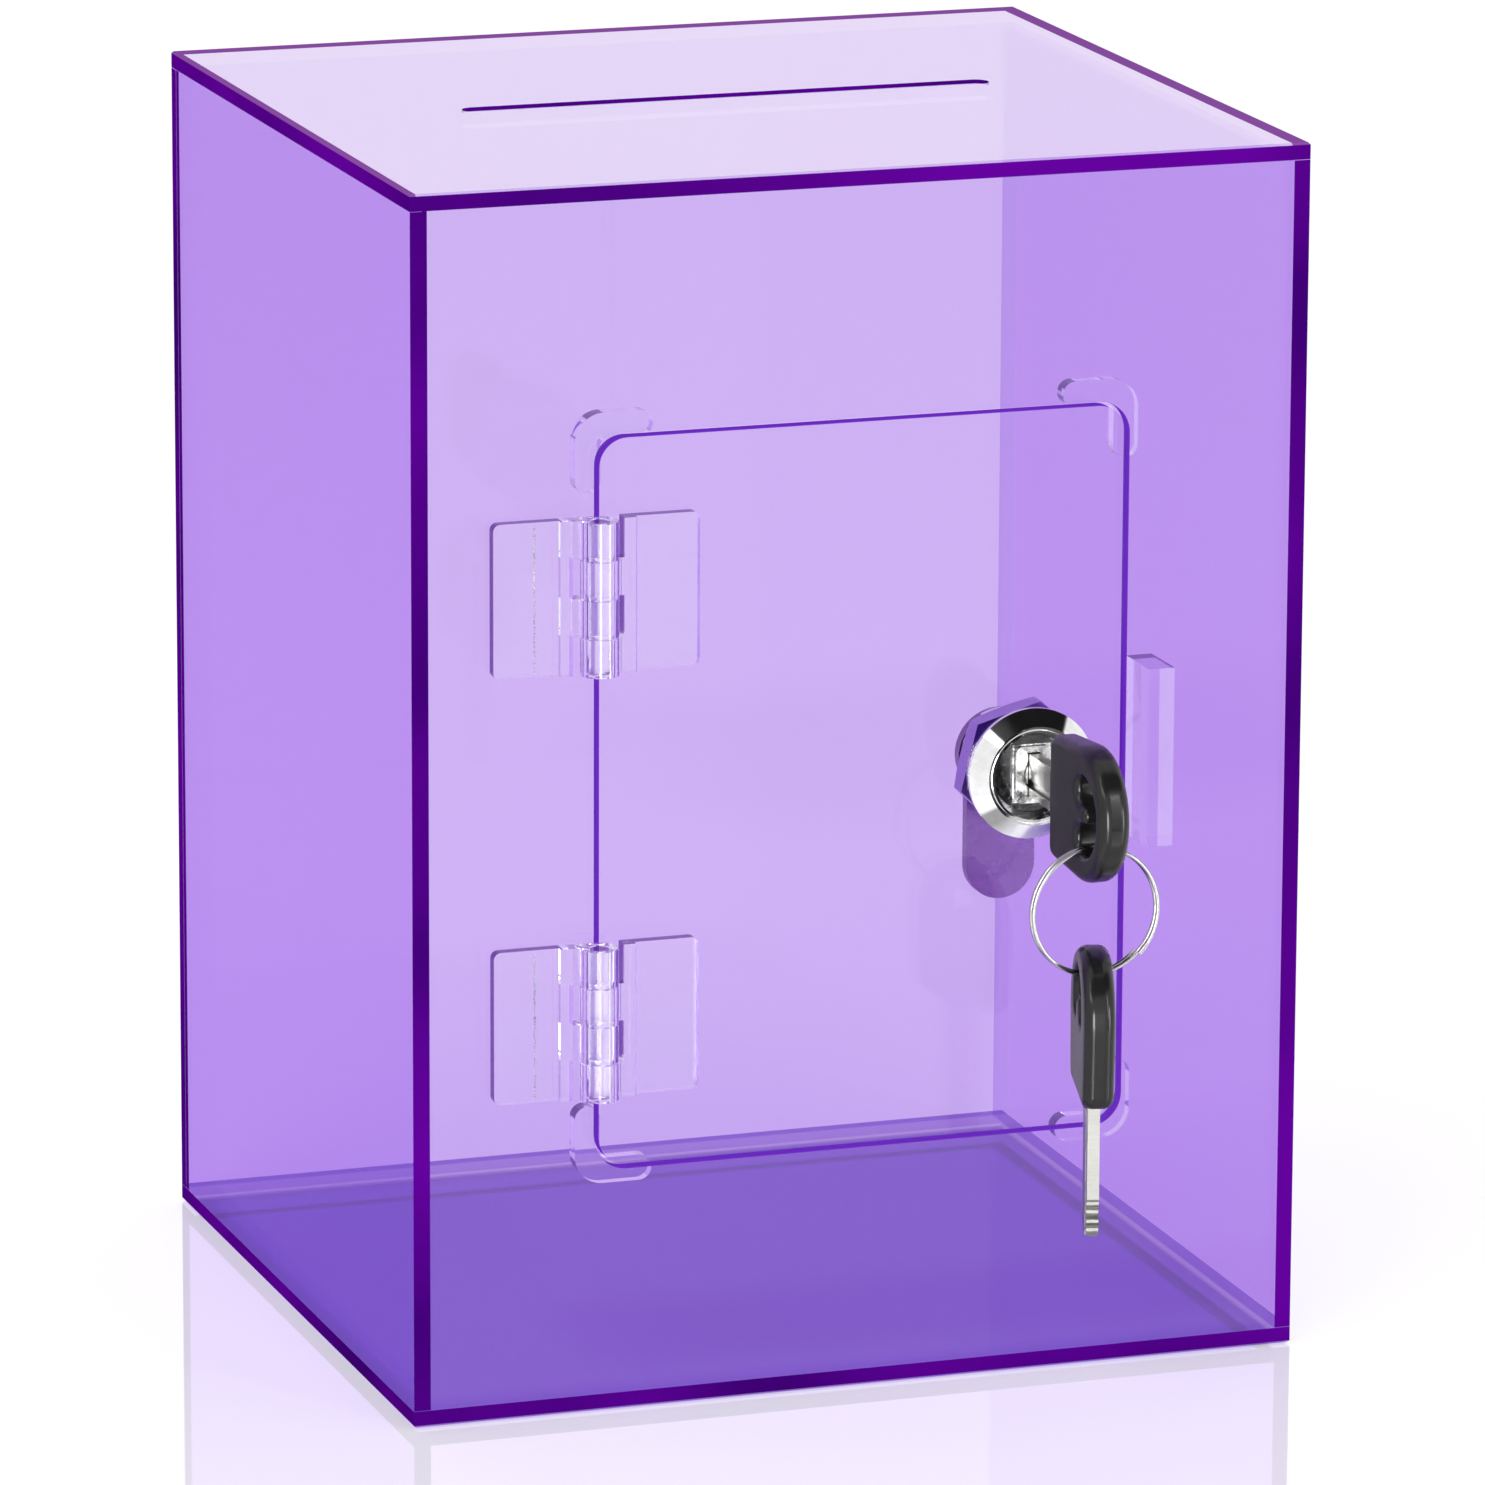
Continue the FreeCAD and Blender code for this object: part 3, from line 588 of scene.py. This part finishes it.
def make_bubble_tree():
    """Small flat bubbles scattered along a straight line, thin along Y."""
    tree, given, result = repeat_tree("bubble_line", {
        "Start": "Vector", "Step": "Vector", "Count": "Int", "Spread": "Vector",
        "Least": "Float", "Most": "Float", "Shape": "Vector", "Material": "Material",
    })
    line = node(tree, "GeometryNodeMeshLine", mode="OFFSET")
    tree.links.new(given.outputs["Count"], line.inputs["Count"])
    tree.links.new(given.outputs["Start"], line.inputs["Start Location"])
    tree.links.new(given.outputs["Step"], line.inputs["Offset"])
    stray = node(tree, "FunctionNodeRandomValue", {"Seed": stray_seed}, data_type="FLOAT_VECTOR")
    lowest = node(tree, "ShaderNodeVectorMath", operation="SCALE")
    lowest.inputs["Scale"].default_value = -1.0
    tree.links.new(given.outputs["Spread"], lowest.inputs[0])
    tree.links.new(lowest.outputs[0], stray.inputs[0])
    tree.links.new(given.outputs["Spread"], stray.inputs[1])
    placed = node(tree, "GeometryNodeSetPosition")
    tree.links.new(line.outputs["Mesh"], placed.inputs["Geometry"])
    tree.links.new(stray.outputs[0], placed.inputs["Offset"])
    size = node(tree, "FunctionNodeRandomValue", {"Seed": size_seed}, data_type="FLOAT")
    tree.links.new(given.outputs["Least"], size.inputs[2])
    tree.links.new(given.outputs["Most"], size.inputs[3])
    ball = node(tree, "GeometryNodeMeshIcoSphere", {"Radius": 1.0, "Subdivisions": 2})
    spots = node(tree, "GeometryNodeInstanceOnPoints")
    tree.links.new(placed.outputs["Geometry"], spots.inputs["Points"])
    tree.links.new(ball.outputs["Mesh"], spots.inputs["Instance"])
    shape = node(tree, "ShaderNodeVectorMath", operation="SCALE")
    tree.links.new(given.outputs["Shape"], shape.inputs[0])
    tree.links.new(size.outputs[1], shape.inputs["Scale"])
    tree.links.new(shape.outputs[0], spots.inputs["Scale"])
    end_tree(tree, given, spots.outputs["Instances"], result)
    return tree


def make_thread_tree():
    """Rows of round ridges over two opposite arcs of a barrel along Y."""
    tree, given, result = repeat_tree("thread_rows", {
        "Start": "Vector", "Step": "Vector", "Count": "Int", "Radius": "Float",
        "Ridge": "Float", "From": "Float", "Sweep": "Float", "Material": "Material",
    })
    arc = node(tree, "GeometryNodeCurveArc", {"Resolution": 40}, mode="RADIUS")
    tree.links.new(given.outputs["Radius"], arc.inputs["Radius"])
    tree.links.new(given.outputs["From"], arc.inputs["Start Angle"])
    tree.links.new(given.outputs["Sweep"], arc.inputs["Sweep Angle"])
    ridge = node(tree, "GeometryNodeCurvePrimitiveCircle", {"Resolution": 6})
    tree.links.new(given.outputs["Ridge"], ridge.inputs["Radius"])
    tube = node(tree, "GeometryNodeCurveToMesh", {"Fill Caps": True})
    tree.links.new(arc.outputs["Curve"], tube.inputs["Curve"])
    tree.links.new(ridge.outputs["Curve"], tube.inputs["Profile Curve"])
    both = node(tree, "GeometryNodeJoinGeometry")
    for turn in (0.0, math.pi):
        turned = node(tree, "GeometryNodeTransform", {"Rotation": (math.pi / 2, turn, 0.0)})
        tree.links.new(tube.outputs["Mesh"], turned.inputs["Geometry"])
        tree.links.new(turned.outputs["Geometry"], both.inputs["Geometry"])
    line = node(tree, "GeometryNodeMeshLine", mode="OFFSET")
    tree.links.new(given.outputs["Count"], line.inputs["Count"])
    tree.links.new(given.outputs["Start"], line.inputs["Start Location"])
    tree.links.new(given.outputs["Step"], line.inputs["Offset"])
    rows = node(tree, "GeometryNodeInstanceOnPoints")
    tree.links.new(line.outputs["Mesh"], rows.inputs["Points"])
    tree.links.new(both.outputs["Geometry"], rows.inputs["Instance"])
    end_tree(tree, given, rows.outputs["Instances"], result)
    return tree


def grow(name, tree, values, body):
    """Plain mesh made by a geometry node group, riding on a body."""
    piece = link_object(name, bpy.data.meshes.new(name))
    modifier = piece.modifiers.new("repeat", "NODES")
    modifier.node_group = tree
    for item in tree.interface.items_tree:
        if item.in_out == "INPUT":
            modifier[item.identifier] = values[item.name]
    shape = piece.evaluated_get(bpy.context.evaluated_depsgraph_get())
    mesh = bpy.data.meshes.new_from_object(shape)
    piece.modifiers.remove(modifier)
    piece.data = mesh
    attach(piece, body)


def make_repeats():
    bubbles = make_bubble_tree()
    bubble_finish = glue_bubble("glue_bubble")
    for level in ("upper", "lower"):
        low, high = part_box(f"{level}_hinge_frame_leaf")
        count = int((high[2] - low[2] - 2 * bubble_margin) / bubble_step)
        grow(f"{level}_glue_line", bubbles, {
            "Start": (low[0] + bubble_inset, high[1] + glue_film / 2, low[2] + bubble_margin),
            "Step": (0.0, 0.0, bubble_step),
            "Count": count,
            "Spread": bubble_stray,
            "Least": bubble_least,
            "Most": bubble_most,
            "Shape": (1.0, bubble_flat, 1.0),
            "Material": bubble_finish,
        }, "box")
    nut_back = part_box("lock_nut")[1][1]
    grow("lock_thread", make_thread_tree(), {
        "Start": (lock_x, nut_back + thread_pitch, lock_z),
        "Step": (0.0, thread_pitch, 0.0),
        "Count": thread_rows,
        "Radius": barrel_r,
        "Ridge": thread_ridge,
        "From": math.radians(90.0 - thread_sweep_deg / 2),
        "Sweep": math.radians(thread_sweep_deg),
        "Material": bpy.data.materials["lock_chrome"],
    }, "door")


# Studio

def flat_mesh(name, wide, deep):
    mesh = bpy.data.meshes.new(name)
    x = wide / 2
    y = deep / 2
    mesh.from_pydata([(-x, -y, 0), (x, -y, 0), (x, y, 0), (-x, y, 0)], [], [(0, 1, 2, 3)])
    return mesh


def seen_directly(tree):
    """1 for rays that should meet plain white: from the camera, and by way of mirrors and glass."""
    path = node(tree, "ShaderNodeLightPath")
    direct = maths(tree, "MAXIMUM", path.outputs["Is Camera Ray"], path.outputs["Is Glossy Ray"])
    return maths(tree, "MAXIMUM", direct, path.outputs["Is Transmission Ray"])


def make_room():
    world = bpy.data.worlds.new("studio")
    world.use_nodes = True
    tree = world.node_tree
    tree.nodes.clear()
    light = node(tree, "ShaderNodeBackground", {"Color": opaque(white)})
    strength = maths(tree, "MULTIPLY_ADD", seen_directly(tree), 1.0 - ambient_strength, ambient_strength)
    tree.links.new(strength, light.inputs["Strength"])
    tree.links.new(light.outputs[0], node(tree, "ShaderNodeOutputWorld").inputs["Surface"])
    bpy.context.scene.world = world


def make_floor():
    material, tree, out = blank_material("white_floor")
    matt = node(tree, "ShaderNodeBsdfDiffuse", {"Color": opaque(floor_colour)})
    glow = node(tree, "ShaderNodeEmission", {"Color": opaque(white)})
    tree.links.new(maths(tree, "MULTIPLY", seen_directly(tree), floor_glow), glow.inputs["Strength"])
    lit = node(tree, "ShaderNodeAddShader")
    tree.links.new(matt.outputs[0], lit.inputs[0])
    tree.links.new(glow.outputs[0], lit.inputs[1])
    mirror = node(tree, "ShaderNodeBsdfGlossy", {"Color": opaque(white), "Roughness": 0.03})
    slant = node(tree, "ShaderNodeFresnel", {"IOR": floor_ior}).outputs[0]
    gloss = maths(tree, "MULTIPLY", slant, floor_gloss)
    tree.links.new(mixed_shader(tree, gloss, lit.outputs[0], mirror.outputs[0]), out.inputs["Surface"])
    floor = link_object("floor", flat_mesh("floor", floor_size, floor_size))
    floor.location = (0, 0, -floor_drop)
    floor.data.materials.append(material)


def area_light(name, place, target, wide, tall, power):
    light = bpy.data.lights.new(name, "AREA")
    light.shape = "RECTANGLE"
    light.size = wide
    light.size_y = tall
    light.energy = power
    lamp = link_object(name, light)
    lamp.location = place
    lamp.rotation_euler = (Vector(target) - Vector(place)).to_track_quat("-Z", "Y").to_euler()


def make_lamps():
    aim = (0, 0, mid_height)
    area_light("key_softbox", (-1.3, -1.2, 1.9), aim, wide=1.2, tall=1.2, power=16)
    area_light("right_strip", (0.75, -1.5, 0.7), aim, wide=0.12, tall=1.0, power=4)


def reflection_card(name, place, facing, wide, tall, level, soft, one_sided=False):
    """Card with soft edges that only mirrors in the open see, for the streaks on metal and plastic.

    Mirrors behind a sheet don't see it, and a one-sided card isn't seen from its back.
    """
    material, tree, out = blank_material(name)
    coords = node(tree, "ShaderNodeTexCoord")
    where = node(tree, "ShaderNodeSeparateXYZ")
    tree.links.new(coords.outputs["Object"], where.inputs[0])
    shares = []
    for axis, half in (("X", wide / 2), ("Y", tall / 2)):
        reach = maths(tree, "ABSOLUTE", where.outputs[axis])
        shares.append(maths(tree, "SUBTRACT", 1.0, remap(tree, reach, half - soft, half)))
    passed = node(tree, "ShaderNodeLightPath").outputs["Transparent Depth"]
    in_open = maths(tree, "LESS_THAN", passed, 0.5)
    share = maths(tree, "MULTIPLY", maths(tree, "MULTIPLY", *shares), in_open)
    if one_sided:
        behind = node(tree, "ShaderNodeNewGeometry").outputs["Backfacing"]
        share = maths(tree, "MULTIPLY", share, maths(tree, "SUBTRACT", 1.0, behind))
    light = node(tree, "ShaderNodeEmission", {"Color": opaque(white), "Strength": level})
    clear = node(tree, "ShaderNodeBsdfTransparent")
    whole = mixed_shader(tree, share, clear.outputs[0], light.outputs[0])
    tree.links.new(whole, out.inputs["Surface"])
    card = link_object(name, flat_mesh(name, wide, tall))
    card.location = place
    card.rotation_euler = facing
    card.data.materials.append(material)
    card.visible_camera = False
    card.visible_diffuse = False
    card.visible_shadow = False
    card.visible_transmission = False


def make_cards():
    flat = (0, 0, 0)
    flag_turn = (0, 0, math.radians(12.7))
    left_turn = (math.radians(90), 0, math.radians(-22))
    right_turn = (math.radians(90), 0, math.radians(42))
    reflection_card("dark_flag", (0.53, -0.755, 1.35), flag_turn, wide=3.3, tall=1.2, level=0.01, soft=0.2)
    reflection_card(
        "floor_flag", (0.17, -0.47, 0.004), flat, wide=0.2, tall=0.16, level=0.03, soft=0.05, one_sided=True
    )
    # Painted shade: a grey card on the floor in front of the box, seen only by mirrors, darkens the floor
    # they show there
    reflection_card(
        "floor_shade_card", (0.035, -0.1, 0.003), flat, wide=0.16, tall=0.05, level=0.42, soft=0.015, one_sided=True
    )
    reflection_card(
        "left_streak", (-0.12, -0.48, 0.05), left_turn, wide=0.12, tall=0.3, level=20.0, soft=0.04
    )
    reflection_card(
        "right_streak", (0.3, -0.41, 0.05), right_turn, wide=0.07, tall=0.3, level=14.0, soft=0.02
    )


def make_camera():
    data = bpy.data.cameras.new("camera")
    data.sensor_fit = "HORIZONTAL"
    data.sensor_width = camera_sensor
    data.lens = camera_lens
    camera = link_object("camera", data)
    turn = Matrix.Rotation(math.radians(camera_azimuth), 4, "Z")
    tilt = Matrix.Rotation(math.radians(90 - camera_elevation), 4, "X")
    roll = Matrix.Rotation(math.radians(camera_roll), 4, "Z")
    camera.matrix_world = Matrix.Translation(camera_place) @ turn @ tilt @ roll
    bpy.context.scene.camera = camera


dress_all()
make_repeats()
make_room()
make_floor()
make_lamps()
make_cards()
make_camera()

scene = bpy.context.scene
scene.view_settings.view_transform = "Standard"
scene.cycles.max_bounces = 16
scene.cycles.transmission_bounces = 16
scene.cycles.transparent_max_bounces = 32
